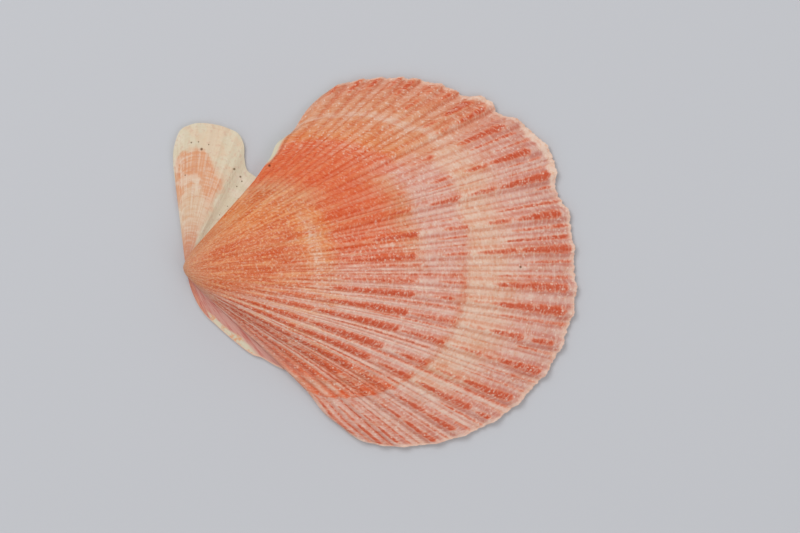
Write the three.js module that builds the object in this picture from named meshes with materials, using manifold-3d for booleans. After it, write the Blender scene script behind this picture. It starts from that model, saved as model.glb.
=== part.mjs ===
// A fan shell: one loose valve of a small scallop, lying on its rim with its ribbed back up.
// Millimetres. +X runs from the beak to the far margin, +Y towards the long ear, +Z up.
//
// The valve is laid down the way it grew. Every earlier margin of the disc was a smaller copy
// of the last one, turned about the hinge line, so a point of the surface has two measures:
// its direction from the beak along the last margin, in degrees from +X, and its growth, from
// 0 at the beak to 1 at the last margin.

import * as THREE from 'three';
import { mergeVertices } from 'three/addons/utils/BufferGeometryUtils.js';
import Module from 'manifold-3d';

// The disc: its reach from beak to far margin, and how its older growth turns up about the hinge
const HEIGHT = 58;
const HINGE_TILT = 11;
const COIL_RATE = 0.45;
const COIL_POWER = 1.2;
const FIRST_GROWTH = 0.02;
const TIP_BACK = 0.45;
const EDGE_THICKNESS = 0.7;

// The last margin of the disc, as [direction, reach as a share of HEIGHT], from short ear to long ear
const MARGIN = [
  [-46, 0.59], [-45, 0.623], [-43, 0.664], [-40, 0.712], [-35, 0.78], [-30, 0.839], [-25, 0.889],
  [-20, 0.927], [-15, 0.959], [-10, 0.979], [-5, 0.99], [0, 0.986], [4, 0.983], [8, 0.98],
  [12, 0.96], [16.5, 0.973], [19.5, 0.959], [22.5, 0.936], [24.5, 0.914], [26.5, 0.884],
  [29.5, 0.874], [32, 0.828], [35, 0.803], [40, 0.748], [45, 0.682], [48, 0.639], [50, 0.599],
  [51.6, 0.556],
];
const SHORT_SIDE = MARGIN[0][0];
const LONG_SIDE = MARGIN[MARGIN.length - 1][0];

// The disc sinks to this share of its height where it meets the ears, over this many degrees
const FLANK_DROP = 0.5;
const FLANK_WIDTH = 17;

// The free side of the disc swells out past the notch, as [growth, degrees, length in growth]
const SIDE_SWELLS = [[0.59, 0.8, 0.06], [0.7, 2.5, 0.06], [0.9, 1.5, 0.12]];
const SWELL_WIDTH = 5;

// Below this growth the sides of the disc are lost between the ears
const SIDES_FROM = 0.35;

// Crest directions of the ribs, and the ribs' size at the last margin
const RIBS = [
  -44.9, -42.5, -39.9, -35.2, -31.4, -26.5, -22.2, -16.5, -11.8, -6.7, -3.1, 2.9, 8.3,
  14.4, 18.9, 24.2, 28.2, 30.4, 33.5, 36, 39.6, 41.8, 44.8, 47.3, 49.8,
];
const RIB_HEIGHT = 0.62;
const RIB_HALF_WIDTH = 1.15;
const RIB_SHOULDER = 0.72;
const RIB_FADE = 0.7;
const RIB_ROOM = 0.42;

// On the short side the older ribs lie this many degrees nearer to the middle
const DRIFT = 0.9;
const DRIFT_GONE = 0.95;
const DRIFT_WIDTH = [2, 14];
const DRIFT_EDGE = 6;

// Each rib runs out into a lobe of the margin
const LOBE = 0.3;
const LOBES_FROM = 0.75;

// Growth at which the shell paused and left a low ledge
const LEDGES = [0.4, 0.63, 0.725, 0.8];
const LEDGE_HEIGHT = 0.16;
const LEDGE_RUN = 0.07;
const LEDGE_FACE = 0.008;

// The hollow underside: wall thickness at the margin and at the umbo, and where the hollow starts
const WALL_MARGIN = 0.85;
const WALL_UMBO = 1.5;
const HOLLOW_FIRST = 0.085;
const HOLLOW_SIDE = 2.4;
const HOLLOW_RIB_SHARE = 0.6;
const HOLLOW_BELOW = 2;
const WALL_THINS = [0.1, 0.8];
const GROOVES_FROM = 0.45;

// The ears, as [direction, reach as a share of HEIGHT] round the tip of the beak
const LONG_EAR = [
  [44, 0.29], [51.4, 0.295], [55, 0.294], [58.5, 0.2975], [62.1, 0.32], [64.6, 0.3475],
  [68.5, 0.369], [73, 0.374], [78, 0.3755], [85, 0.373], [88.4, 0.367], [92.5, 0.352],
  [94.7, 0.325], [96.3, 0.295], [97, 0.264],
];
const SHORT_EAR = [
  [-77, 0.045], [-74, 0.075], [-70.5, 0.107], [-66.3, 0.137], [-62, 0.165], [-56.9, 0.218],
  [-52.4, 0.28], [-49.7, 0.301], [-47.6, 0.336], [-45.1, 0.372], [-43.5, 0.38], [-36, 0.38],
];
const EAR_RISE = 0.55;
const EAR_RIBS = [69, 74.5, 80, 85.5, 91, 95];
const EAR_RIB_HEIGHT = 0.24;
const EAR_RIB_HALF_WIDTH = 2;
const BYSSAL_TRACK = [52, 64.6];
const BYSSAL_DEPTH = 0.3;
const EAR_ROWS = 9;
const EAR_FIRST = 0.03;

// Growth at which the disc and the hollow are measured, besides both sides of each ledge
const EARLY_ROWS = 8;
const EARLY_UNTIL = 0.3;
const LATE_ROWS = [0.47, 0.55, 0.68, 0.85, 0.9, 0.95, 1];
const HOLLOW_ROWS = [HOLLOW_FIRST, 0.13, 0.2, 0.3, 0.42, 0.55, 0.68, 0.8, 0.9, 1];

// Every rib is measured from this growth on, and each furrow once or twice, by its width in degrees
const FINE_FROM = 0.15;
const FURROW_ONCE = 0.5;
const FURROW_TWICE = 1.6;

const GROWTH_STEP = 0.01;
const ROUNDING = 1e-6;
const SAME_POINT = 1e-4;
const COLOUR = 0xd8795a;

const radians = THREE.MathUtils.degToRad;
const smoothstep = THREE.MathUtils.smoothstep;
const acrossHinge = new THREE.Vector3(Math.cos(radians(HINGE_TILT)), Math.sin(radians(HINGE_TILT)), 0);
const alongHinge = new THREE.Vector3(-acrossHinge.y, acrossHinge.x, 0);
const up = new THREE.Vector3(0, 0, 1);
const tip = acrossHinge.clone().multiplyScalar(-TIP_BACK);

// A smooth curve through pairs of [place, value], read at any place
function curveThrough(pairs) {
  const last = pairs.length - 1;
  const slopes = pairs.map((pair, i) => {
    const [before, low] = pairs[Math.max(i - 1, 0)];
    const [after, high] = pairs[Math.min(i + 1, last)];
    return (high - low) / (after - before);
  });
  return (place) => {
    let i = 0;
    while (i < last - 1 && pairs[i + 1][0] < place) {
      i += 1;
    }
    const [from, start] = pairs[i];
    const [to, end] = pairs[i + 1];
    const t = THREE.MathUtils.clamp((place - from) / (to - from), 0, 1);
    const rise = end - start;
    const bend = (to - from) * slopes[i] - rise;
    const unbend = rise - (to - from) * slopes[i + 1];
    return start + t * rise + t * (1 - t) * ((1 - t) * bend + t * unbend);
  };
}

const marginReach = curveThrough(MARGIN);

// How far growth of this age has turned up about the hinge line
const turn = (growth) => COIL_RATE * Math.log(1 / growth) ** COIL_POWER;

// Where a rib of this direction lay when the shell was younger
function wandered(direction, growth) {
  const older = 1 - smoothstep(growth, DRIFT_GONE / 2, DRIFT_GONE);
  const inside = smoothstep(-direction, ...DRIFT_WIDTH) * smoothstep(direction - SHORT_SIDE, 0, DRIFT_EDGE);
  return direction + DRIFT * older * inside;
}

// The free side of the disc past the notch swells a little towards the long ear
function swollen(direction, growth) {
  const near = smoothstep(direction, LONG_SIDE - SWELL_WIDTH, LONG_SIDE);
  const swells = SIDE_SWELLS.map(([at, size, length]) => size * Math.exp(-(((growth - at) / length) ** 2)));
  return direction + near * swells.reduce((sum, swell) => sum + swell, 0);
}

// The disc's surface with no ribs or ledges
function smoothDisc(direction, growth) {
  const place = wandered(direction, growth);
  const reach = HEIGHT * marginReach(place);
  const angle = radians(swollen(place, growth) - HINGE_TILT);
  const across = growth * reach * Math.cos(angle);
  const along = growth * reach * Math.sin(angle);
  const side = Math.min(direction - SHORT_SIDE, LONG_SIDE - direction);
  const flank = FLANK_DROP + (1 - FLANK_DROP) * smoothstep(side, 0, FLANK_WIDTH);
  return new THREE.Vector3()
    .addScaledVector(acrossHinge, across * Math.cos(turn(growth)))
    .addScaledVector(alongHinge, along)
    .addScaledVector(up, EDGE_THICKNESS + across * Math.sin(turn(growth)) * flank);
}

function discNormal(direction, growth) {
  const ahead = smoothDisc(direction, Math.min(growth * (1 + GROWTH_STEP), 1));
  const behind = smoothDisc(direction, growth * (1 - GROWTH_STEP));
  const left = smoothDisc(direction + 1, growth);
  const right = smoothDisc(direction - 1, growth);
  return ahead.sub(behind).cross(left.sub(right)).normalize();
}

// Each rib is as wide as its neighbours leave room for
const ribs = RIBS.map((crest, i) => {
  const before = crest - (RIBS[i - 1] ?? SHORT_SIDE - 2);
  const after = (RIBS[i + 1] ?? LONG_SIDE + 2) - crest;
  return { crest, half: Math.min(RIB_HALF_WIDTH, RIB_ROOM * before, RIB_ROOM * after) };
});

// 1 on a crest, RIB_SHOULDER on its shoulders and 0 in the furrows
function ribAt(direction) {
  const near = ribs.find(({ crest, half }) => Math.abs(direction - crest) <= half + ROUNDING);
  if (!near) {
    return 0;
  }
  return 1 - (1 - RIB_SHOULDER) * Math.abs(direction - near.crest) / near.half;
}

// Each ledge rises slowly towards the margin and then drops
function ledgeAt(growth) {
  const next = LEDGES.find((ledge) => growth <= ledge);
  if (next === undefined || next - growth > LEDGE_RUN) {
    return 0;
  }
  return LEDGE_HEIGHT * (1 - (next - growth) / LEDGE_RUN);
}

function outerDisc(direction, growth) {
  const rib = ribAt(direction);
  const relief = rib * RIB_HEIGHT * growth ** RIB_FADE + ledgeAt(growth);
  const outwards = new THREE.Vector3(Math.cos(radians(direction)), Math.sin(radians(direction)), 0);
  return smoothDisc(direction, growth)
    .addScaledVector(discNormal(direction, growth), relief)
    .addScaledVector(outwards, LOBE * rib * smoothstep(growth, LOBES_FROM, 1));
}

function innerDisc(direction, growth) {
  const wall = THREE.MathUtils.lerp(WALL_UMBO, WALL_MARGIN, smoothstep(growth, ...WALL_THINS));
  const groove = ribAt(direction) * HOLLOW_RIB_SHARE * RIB_HEIGHT * smoothstep(growth, GROOVES_FROM, 1);
  return smoothDisc(direction, growth).addScaledVector(discNormal(direction, growth), groove - wall);
}

// Directions at which the disc is measured: crest and shoulders of each rib, and the furrows
function fineDirections() {
  const places = [SHORT_SIDE];
  ribs.forEach(({ crest, half }, i) => {
    places.push(crest - half, crest, crest + half);
    const next = ribs[i + 1];
    const from = crest + half;
    const gap = next ? next.crest - next.half - from : 0;
    if (gap > FURROW_TWICE) {
      places.push(from + 0.25 * gap, from + 0.75 * gap);
    } else if (gap > FURROW_ONCE) {
      places.push(from + 0.5 * gap);
    }
  });
  places.push(LONG_SIDE);
  return places;
}

// Close to the beak the ribs are too fine to tell apart, and every other crest is enough
function coarseDirections() {
  return [SHORT_SIDE, ...RIBS.filter((crest, i) => i % 2 === 1), LONG_SIDE];
}

// Growth at which the disc is measured: close together at the beak, and both sides of each ledge
function discGrowths() {
  const places = [...LATE_ROWS];
  for (let i = 0; i < EARLY_ROWS; i += 1) {
    places.push(FIRST_GROWTH * (EARLY_UNTIL / FIRST_GROWTH) ** (i / (EARLY_ROWS - 1)));
  }
  LEDGES.forEach((ledge) => places.push(ledge, ledge + LEDGE_FACE));
  return places.sort((a, b) => a - b);
}

// Points of a surface at one growth, each with its direction
function rowAt(surface, growth) {
  const directions = growth < FINE_FROM ? coarseDirections() : fineDirections();
  return directions.map((direction) => ({ direction, point: surface(direction, growth) }));
}

// A body is gathered as a list of points and of faces between them
class Body {
  points = [];

  faces = [];

  addRow(row) {
    return row.map(({ direction, point }) => {
      this.points.push(point);
      return { direction, index: this.points.length - 1 };
    });
  }

  // The feet of a line of points, straight below them
  addFeet(line, floor) {
    return this.addRow(line.map(({ direction, index }) => {
      return { direction, point: this.points[index].clone().setZ(floor) };
    }));
  }

  // The faces between two rows, the inner one first, whose points needn't match
  join(inner, outer) {
    let [i, j] = [0, 0];
    while (i + 1 < inner.length || j + 1 < outer.length) {
      const innerNext = i + 1 < inner.length ? inner[i + 1].direction : Infinity;
      const outerNext = j + 1 < outer.length ? outer[j + 1].direction : Infinity;
      if (outerNext <= innerNext) {
        this.faces.push([inner[i].index, outer[j].index, outer[j + 1].index]);
        j += 1;
      } else {
        this.faces.push([inner[i].index, outer[j].index, inner[i + 1].index]);
        i += 1;
      }
    }
  }

  // The faces between a line of points and their feet
  wall(line, feet) {
    for (let i = 0; i + 1 < line.length; i += 1) {
      this.faces.push([line[i].index, feet[i].index, feet[i + 1].index]);
      this.faces.push([line[i].index, feet[i + 1].index, line[i + 1].index]);
    }
  }

  // The faces between a line of points and one point
  fan(line, hub) {
    for (let i = 0; i + 1 < line.length; i += 1) {
      this.faces.push([line[i].index, hub, line[i + 1].index]);
    }
  }

  // A level face inside a closed line of points, seen from below
  underside(indices) {
    const outline = indices.map((index) => new THREE.Vector2(this.points[index].x, this.points[index].y));
    THREE.ShapeUtils.triangulateShape(outline, []).forEach((corners) => {
      this.faces.push(corners.map((corner) => indices[corner]).reverse());
    });
  }

  geometry() {
    const geometry = new THREE.BufferGeometry();
    const numbers = this.points.flatMap((point) => point.toArray());
    geometry.setAttribute('position', new THREE.Float32BufferAttribute(numbers, 3));
    geometry.setIndex(this.faces.flat());
    return mergeVertices(geometry, SAME_POINT);
  }
}

// The same row seen from below
function turnedOver(row) {
  return row.map(({ direction, index }) => ({ direction: -direction, index })).reverse();
}

// A closed body between a surface, given as rows that run outwards, and a level floor
function bodyBelow(rows, floor) {
  const body = new Body();
  const lines = rows.map((row) => body.addRow(row));
  const feet = lines.map((line) => body.addFeet(line, floor));
  const side = (grid, end) => grid.map((line) => line.at(end));
  lines.slice(1).forEach((line, i) => {
    body.join(lines[i], line);
    body.join(turnedOver(feet[i]), turnedOver(feet[i + 1]));
  });
  body.wall(side(lines, 0), side(feet, 0));
  body.wall(lines.at(-1), feet.at(-1));
  body.wall(side(lines, -1).reverse(), side(feet, -1).reverse());
  body.wall([...lines[0]].reverse(), [...feet[0]].reverse());
  return body.geometry();
}

// The disc before it is hollowed. Its oldest growth curls past the hinge, so it closes on the tip.
function discBody() {
  const body = new Body();
  const growths = discGrowths();
  const lines = growths.map((growth) => body.addRow(rowAt(outerDisc, growth)));
  lines.slice(1).forEach((line, i) => body.join(lines[i], line));
  const shortSide = lines.map((line) => line[0]);
  const longSide = lines.map((line) => line.at(-1));
  const start = growths.findIndex((growth) => growth > SIDES_FROM);
  const rim = [
    ...shortSide.slice(start, -1),
    ...lines.at(-1),
    ...longSide.slice(start, -1).reverse(),
  ];
  const feet = body.addFeet(rim, 0);
  body.points.push(tip.clone());
  const hub = body.points.length - 1;
  body.wall(rim, feet);
  body.underside([hub, ...feet.map(({ index }) => index)]);
  body.fan([...lines[0]].reverse(), hub);
  body.fan([...shortSide.slice(0, start + 1), feet[0]], hub);
  body.fan([...longSide.slice(0, start + 1), feet.at(-1)].reverse(), hub);
  return body.geometry();
}

function hollowBody() {
  const low = SHORT_SIDE + HOLLOW_SIDE;
  const high = LONG_SIDE - HOLLOW_SIDE;
  const rows = HOLLOW_ROWS.map((growth) => rowAt(innerDisc, growth).filter(({ direction }) => {
    return direction > low && direction < high;
  }));
  return bodyBelow(rows, -HOLLOW_BELOW);
}

// An ear is a thin plate that fans out from the tip, and runs on into the disc
function earBody(outline, relief) {
  const rows = [];
  for (let row = 0; row < EAR_ROWS; row += 1) {
    const growth = Math.max(row / (EAR_ROWS - 1), EAR_FIRST);
    rows.push(outline.map(([direction, reach]) => {
      const away = growth * reach * HEIGHT;
      const angle = radians(direction);
      const spot = new THREE.Vector3(away * Math.cos(angle), away * Math.sin(angle), 0);
      const rise = Math.max(spot.dot(acrossHinge), 0) * Math.sin(turn(growth)) * EAR_RISE;
      const point = spot.add(tip).setZ(EDGE_THICKNESS + rise + growth * relief(direction));
      return { direction, point };
    }));
  }
  return bodyBelow(rows, 0);
}

function longEarRelief(direction) {
  const [start, end] = BYSSAL_TRACK;
  if (direction > start && direction < end) {
    return -BYSSAL_DEPTH * Math.sin(Math.PI * (direction - start) / (end - start));
  }
  const away = Math.min(...EAR_RIBS.map((rib) => Math.abs(direction - rib)));
  return EAR_RIB_HEIGHT * Math.max(1 - away / EAR_RIB_HALF_WIDTH, 0);
}

// The long ear's outline, measured at each of its ribs and furrows too
function longEarOutline() {
  const reach = curveThrough(LONG_EAR);
  const first = EAR_RIBS[0] - EAR_RIB_HALF_WIDTH;
  const plain = LONG_EAR.map(([direction]) => direction).filter((direction) => direction < first);
  const ribbed = EAR_RIBS.flatMap((rib) => [rib - EAR_RIB_HALF_WIDTH, rib]);
  const places = [...plain, ...ribbed, LONG_EAR[LONG_EAR.length - 1][0]];
  return places.map((direction) => [direction, reach(direction)]);
}

const wasm = await Module();
wasm.setup();

function solid(geometry) {
  const vertProperties = Float32Array.from(geometry.attributes.position.array);
  const triVerts = Uint32Array.from(geometry.index.array);
  return new wasm.Manifold(new wasm.Mesh({ numProp: 3, vertProperties, triVerts }));
}

function geometryFrom(manifold) {
  const { vertProperties, triVerts } = manifold.getMesh();
  const geometry = new THREE.BufferGeometry();
  geometry.setAttribute('position', new THREE.BufferAttribute(vertProperties, 3));
  geometry.setIndex(new THREE.BufferAttribute(triVerts, 1));
  geometry.computeVertexNormals();
  return geometry;
}

const shell = solid(discBody())
  .add(solid(earBody(longEarOutline(), longEarRelief)))
  .add(solid(earBody(SHORT_EAR, () => 0)))
  .subtract(solid(hollowBody()));

const material = new THREE.MeshStandardMaterial({ color: COLOUR, roughness: 0.55, metalness: 0 });
const valve = new THREE.Mesh(geometryFrom(shell), material);
valve.name = 'valve';

// The origin stands under the middle of the valve, on the plane that it rests on
valve.geometry.computeBoundingBox();
const middle = valve.geometry.boundingBox.getCenter(new THREE.Vector3());
valve.position.set(-middle.x, -middle.y, -valve.geometry.boundingBox.min.z);

const group = new THREE.Group();
group.add(valve);
export default group;
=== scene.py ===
import math

import bpy
import numpy as np
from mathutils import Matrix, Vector


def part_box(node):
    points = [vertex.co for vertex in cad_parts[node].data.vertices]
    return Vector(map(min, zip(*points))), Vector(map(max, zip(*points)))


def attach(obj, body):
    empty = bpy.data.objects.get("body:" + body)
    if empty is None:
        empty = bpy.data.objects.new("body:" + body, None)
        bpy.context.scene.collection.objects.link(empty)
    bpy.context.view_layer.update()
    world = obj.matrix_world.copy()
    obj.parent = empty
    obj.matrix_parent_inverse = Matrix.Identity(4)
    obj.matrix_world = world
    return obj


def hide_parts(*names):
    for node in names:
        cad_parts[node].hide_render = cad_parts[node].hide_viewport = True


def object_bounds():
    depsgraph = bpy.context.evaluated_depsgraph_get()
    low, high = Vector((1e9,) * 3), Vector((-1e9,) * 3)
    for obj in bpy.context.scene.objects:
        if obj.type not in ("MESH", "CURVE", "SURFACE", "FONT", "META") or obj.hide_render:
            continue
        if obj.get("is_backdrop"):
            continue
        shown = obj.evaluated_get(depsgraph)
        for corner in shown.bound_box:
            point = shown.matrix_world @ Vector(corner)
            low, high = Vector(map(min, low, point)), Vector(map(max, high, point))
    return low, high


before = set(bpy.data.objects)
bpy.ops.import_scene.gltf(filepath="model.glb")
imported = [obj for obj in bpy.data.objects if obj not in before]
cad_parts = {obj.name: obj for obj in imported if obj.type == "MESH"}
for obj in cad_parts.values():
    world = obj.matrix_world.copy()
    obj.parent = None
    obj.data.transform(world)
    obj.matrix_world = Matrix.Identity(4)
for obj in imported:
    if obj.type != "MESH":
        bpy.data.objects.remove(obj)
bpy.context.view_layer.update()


# The ribbed back of the disc: the outside of a wall of chalky calcite, grown out from the beak.
# Each earlier margin is a smaller copy of the last, turned up about the hinge line, so a point has
# a direction from the beak, in degrees from +X, and a growth, 0 at the beak and 1 at the rim.

MM = 0.001
REACH = 58 * MM
HINGE_TILT = math.radians(11)
COIL_RATE = 0.45
COIL_POWER = 1.2
FIRST_GROWTH = 0.02
TIP_BACK = 0.45 * MM
EDGE_THICKNESS = 0.7 * MM

# The last margin, as (direction, share of REACH)
MARGIN = (
    (-46, 0.59), (-45, 0.623), (-43, 0.664), (-40, 0.712), (-35, 0.78), (-30, 0.839),
    (-25, 0.889), (-20, 0.927), (-15, 0.959), (-10, 0.979), (-5, 0.99), (0, 0.986), (4, 0.983),
    (8, 0.98), (12, 0.96), (16.5, 0.973), (19.5, 0.959), (22.5, 0.936), (24.5, 0.914),
    (26.5, 0.884), (29.5, 0.874), (32, 0.828), (35, 0.803), (40, 0.748), (45, 0.682), (48, 0.639),
    (50, 0.599), (51.6, 0.556),
)
SHORT_SIDE = MARGIN[0][0]
LONG_SIDE = MARGIN[-1][0]

FLANK_DROP = 0.5
FLANK_WIDTH = 17

# The free sides of the disc swell out past the ears, as (growth, degrees, length in growth)
LONG_SIDE_SWELLS = ((0.59, 0.8, 0.06), (0.7, 2.5, 0.06), (0.9, 1.5, 0.12))
SHORT_SIDE_SWELLS = ((0.86, 1.0, 0.08),)
SWELL_WIDTH = 5

# Below this growth the sides of the disc are lost between the ears
SIDES_FROM = 0.35

# Every rib's crest direction, and its red patches as (growth from, growth to, strength)
RIBS = (
    (-44.9, ((0.72, 0.97, 0.6),)),
    (-42.5, ((0.15, 0.6, 0.6), (0.76, 0.86, 0.55), (0.86, 0.99, 0.9))),
    (-39.9, ((0.15, 0.6, 0.7), (0.73, 0.8, 0.4), (0.8, 0.87, 0.7), (0.87, 0.98, 0.9))),
    (-35.2, ((0.15, 0.42, 0.7), (0.42, 0.6, 0.8), (0.62, 0.725, 0.6), (0.76, 0.86, 0.6),
        (0.86, 0.99, 0.9))),
    (-31.4, ((0.15, 0.4, 0.75), (0.4, 0.6, 0.95), (0.61, 0.725, 0.7), (0.745, 0.86, 0.7),
        (0.86, 0.965, 1.0))),
    (-26.5, ((0.16, 0.38, 0.7), (0.38, 0.595, 0.95), (0.62, 0.725, 0.75), (0.74, 0.92, 0.8),
        (0.93, 0.985, 0.8))),
    (-22.2, ((0.18, 0.39, 0.7), (0.39, 0.595, 1.0), (0.63, 0.725, 0.75), (0.74, 0.83, 0.5),
        (0.83, 0.975, 1.0))),
    (-16.5, ((0.22, 0.39, 0.6), (0.39, 0.598, 1.0), (0.6, 0.72, 0.7), (0.73, 0.86, 0.45),
        (0.86, 0.985, 0.95))),
    (-11.8, ((0.26, 0.38, 0.5), (0.4, 0.598, 1.0), (0.6, 0.72, 0.6), (0.73, 0.8, 0.35),
        (0.8, 0.9, 0.7), (0.91, 0.975, 0.8))),
    (-6.7, ((0.3, 0.36, 0.4), (0.4, 0.6, 0.9), (0.64, 0.7, 0.65), (0.73, 0.8, 0.35),
        (0.79, 0.98, 0.85))),
    (-3.1, ((0.42, 0.61, 0.55), (0.655, 0.725, 0.55), (0.79, 0.98, 0.8))),
    (2.9, ((0.43, 0.61, 0.75), (0.66, 0.74, 0.5), (0.75, 0.86, 0.65), (0.86, 0.995, 0.95))),
    (8.3, ((0.5, 0.62, 0.85), (0.67, 0.745, 0.6), (0.78, 0.86, 0.6), (0.86, 0.98, 0.95))),
    (14.4, ((0.54, 0.62, 0.6), (0.66, 0.75, 0.75), (0.76, 0.84, 0.65), (0.845, 0.985, 0.95))),
    (18.9, ((0.54, 0.625, 0.45), (0.68, 0.745, 0.6), (0.77, 0.84, 0.6), (0.845, 0.955, 0.95))),
    (24.2, ((0.68, 0.76, 0.5), (0.82, 0.96, 0.85))),
    (28.2, ((0.8, 0.86, 0.4), (0.88, 0.975, 0.85))),
    (30.4, ((0.8, 0.865, 0.5), (0.875, 0.97, 0.95))),
    (33.5, ((0.73, 0.78, 0.4), (0.84, 0.9, 0.25), (0.93, 0.99, 0.6))),
    (36, ((0.74, 0.8, 0.3), (0.84, 0.92, 0.55), (0.93, 0.975, 0.5))),
    (39.6, ((0.73, 0.78, 0.35), (0.9, 0.99, 0.7))),
    (41.8, ((0.93, 0.995, 0.65),)),
    (44.8, ((0.93, 0.995, 0.75),)),
    (47.3, ((0.92, 0.995, 0.7),)),
    (49.8, ((0.92, 0.995, 0.5),)),
)
CRESTS = np.array([crest for crest, patches in RIBS], float)
RIB_HEIGHT = 0.5 * MM
RIB_HALF_WIDTH = 1.15
RIB_FOOT = 1.6
RIB_SHARE_OF_GAP = 0.42
RIB_FADE = 1.4

# A red patch starts narrow and widens with growth, in shares of its half width
RED_HALF_WIDTH = 1.0
RED_WIDTH_AT_START = 0.6
RED_WIDENING = 0.5
RED_WIDENS_OVER = 0.15
RED_FADES_IN = (-0.02, 0.03)
RED_FADES_OUT = (-0.012, 0.006)
LATE_RED = 0.7
LATE_RED_THINS = 0.4
LATE_RED_THIN_AT = (28, 42)

# Each rib ends in a lobe of the margin, which is ragged, and smoother on the short side
LOBE = 0.3 * MM
LOBES_FROM = 0.75
RAGGED = 0.12 * MM
RAGGED_FROM = 0.95
RAGGED_WAVES = (7.3, 2.9)
SMOOTH_RIM = (-38, -12)
SMOOTH_RIM_SHARE = 0.4

# Thin riblets fill the furrows between the ribs; some are red, as (direction, from, to, strength)
RIBLET_SPACING = 1.05
RIBLET_HEIGHT = 0.15 * MM
RIBLET_CLEARANCE = 1.25
RIBLETS_RISE = (0.15, 0.6)
RED_RIBLETS = (
    (-43.8, 0.74, 1.0, 0.7), (-41.2, 0.73, 1.0, 0.7), (-38.5, 0.73, 1.0, 0.6),
    (-37.3, 0.84, 1.0, 0.5), (-37.2, 0.15, 0.72, 0.6), (-33.4, 0.74, 1.0, 0.5),
    (-33.4, 0.2, 0.72, 0.5), (-30.0, 0.84, 1.0, 0.45), (-29.0, 0.3, 0.72, 0.45),
    (-28.2, 0.84, 1.0, 0.5), (-24.8, 0.8, 1.0, 0.4), (-23.7, 0.42, 1.0, 0.5),
    (-20.3, 0.8, 1.0, 0.4), (-18.6, 0.42, 0.7, 0.5), (-18.4, 0.82, 1.0, 0.4),
    (-13.4, 0.5, 0.71, 0.5), (-13.4, 0.88, 1.0, 0.6), (-8.7, 0.45, 0.72, 0.5),
    (-8.7, 0.78, 1.0, 0.5), (-1.5, 0.42, 0.72, 0.5), (-1.5, 0.78, 1.0, 0.5),
    (0.9, 0.46, 0.62, 0.5), (0.9, 0.86, 1.0, 0.5), (4.7, 0.5, 0.62, 0.4), (4.7, 0.65, 0.74, 0.45),
    (4.7, 0.82, 1.0, 0.75), (6.4, 0.54, 0.61, 0.4), (6.4, 0.65, 0.74, 0.55),
    (6.4, 0.84, 1.0, 0.6), (10.2, 0.82, 1.0, 0.6), (10.3, 0.54, 0.62, 0.4),
    (10.3, 0.66, 0.75, 0.4), (12.6, 0.94, 1.0, 0.7), (12.9, 0.72, 0.75, 0.5),
    (15.9, 0.66, 0.75, 0.3), (15.9, 0.86, 1.0, 0.4), (17.4, 0.66, 0.74, 0.5),
    (17.4, 0.84, 0.98, 0.4), (20.7, 0.88, 0.99, 0.5), (22.5, 0.83, 0.97, 0.65),
    (25.8, 0.86, 1.0, 0.3), (37.4, 0.93, 1.0, 0.4), (37.6, 0.5, 0.66, 0.4),
    (42.3, 0.53, 0.66, 0.4),
)

# On the short side the older ribs lie this many degrees nearer to the middle
DRIFT = 0.9
DRIFT_GONE = 0.95
DRIFT_WIDTH = (2, 14)
DRIFT_EDGE = 6

# Growth at which the shell paused and left a low ledge
LEDGES = (0.4, 0.63, 0.725, 0.8)
LEDGE_HEIGHT = 0.07 * MM
LEDGE_RUN = 0.07

# Close to the beak, where columns would crowd, only every second, fourth or twelfth one is kept
COLUMN_STEP = 0.24
COLUMNS_KEPT = ((0.3, 1), (0.15, 2), (0.07, 4), (0, 12))
EARLY_ROWS = 24
EARLY_UNTIL = 0.3
ROW_STEP = 0.0066

across_hinge = np.array([math.cos(HINGE_TILT), math.sin(HINGE_TILT), 0])
along_hinge = np.array([-across_hinge[1], across_hinge[0], 0])
up = np.array([0.0, 0.0, 1.0])
tip = -TIP_BACK * across_hinge


def smoothstep(value, low, high):
    share = np.clip((np.asarray(value, float) - low) / (high - low), 0, 1)
    return share * share * (3 - 2 * share)


def curve_through(pairs):
    """A smooth curve through (place, value) pairs, read at any place."""
    places, values = np.array(pairs, float).T
    ends = np.arange(len(places))
    before, after = np.maximum(ends - 1, 0), np.minimum(ends + 1, len(places) - 1)
    slopes = (values[after] - values[before]) / (places[after] - places[before])

    def read(place):
        i = np.clip(np.searchsorted(places, place) - 1, 0, len(places) - 2)
        run = places[i + 1] - places[i]
        rise = values[i + 1] - values[i]
        t = np.clip((place - places[i]) / run, 0, 1)
        bend = run * slopes[i] - rise
        unbend = rise - run * slopes[i + 1]
        return values[i] + t * rise + t * (1 - t) * ((1 - t) * bend + t * unbend)

    return read


margin_reach = curve_through(MARGIN)


def turn(growth):
    """How far growth of this age has turned up about the hinge line."""
    return COIL_RATE * np.log(1 / growth) ** COIL_POWER


def wandered(direction, growth):
    """Where a rib of this direction lay when the shell was younger."""
    older = 1 - smoothstep(growth, DRIFT_GONE / 2, DRIFT_GONE)
    inside = smoothstep(-direction, *DRIFT_WIDTH)
    inside *= smoothstep(direction - SHORT_SIDE, 0, DRIFT_EDGE)
    return direction + DRIFT * older * inside


def swell(swells, growth):
    return sum(size * np.exp(-((growth - at) / length) ** 2) for at, size, length in swells)


def swollen(direction, growth):
    """Both sides of the disc swell out a little past the ears."""
    long_side = smoothstep(direction, LONG_SIDE - SWELL_WIDTH, LONG_SIDE)
    short_side = smoothstep(direction, SHORT_SIDE + SWELL_WIDTH, SHORT_SIDE)
    outwards = direction + long_side * swell(LONG_SIDE_SWELLS, growth)
    return outwards - short_side * swell(SHORT_SIDE_SWELLS, growth)


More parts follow.
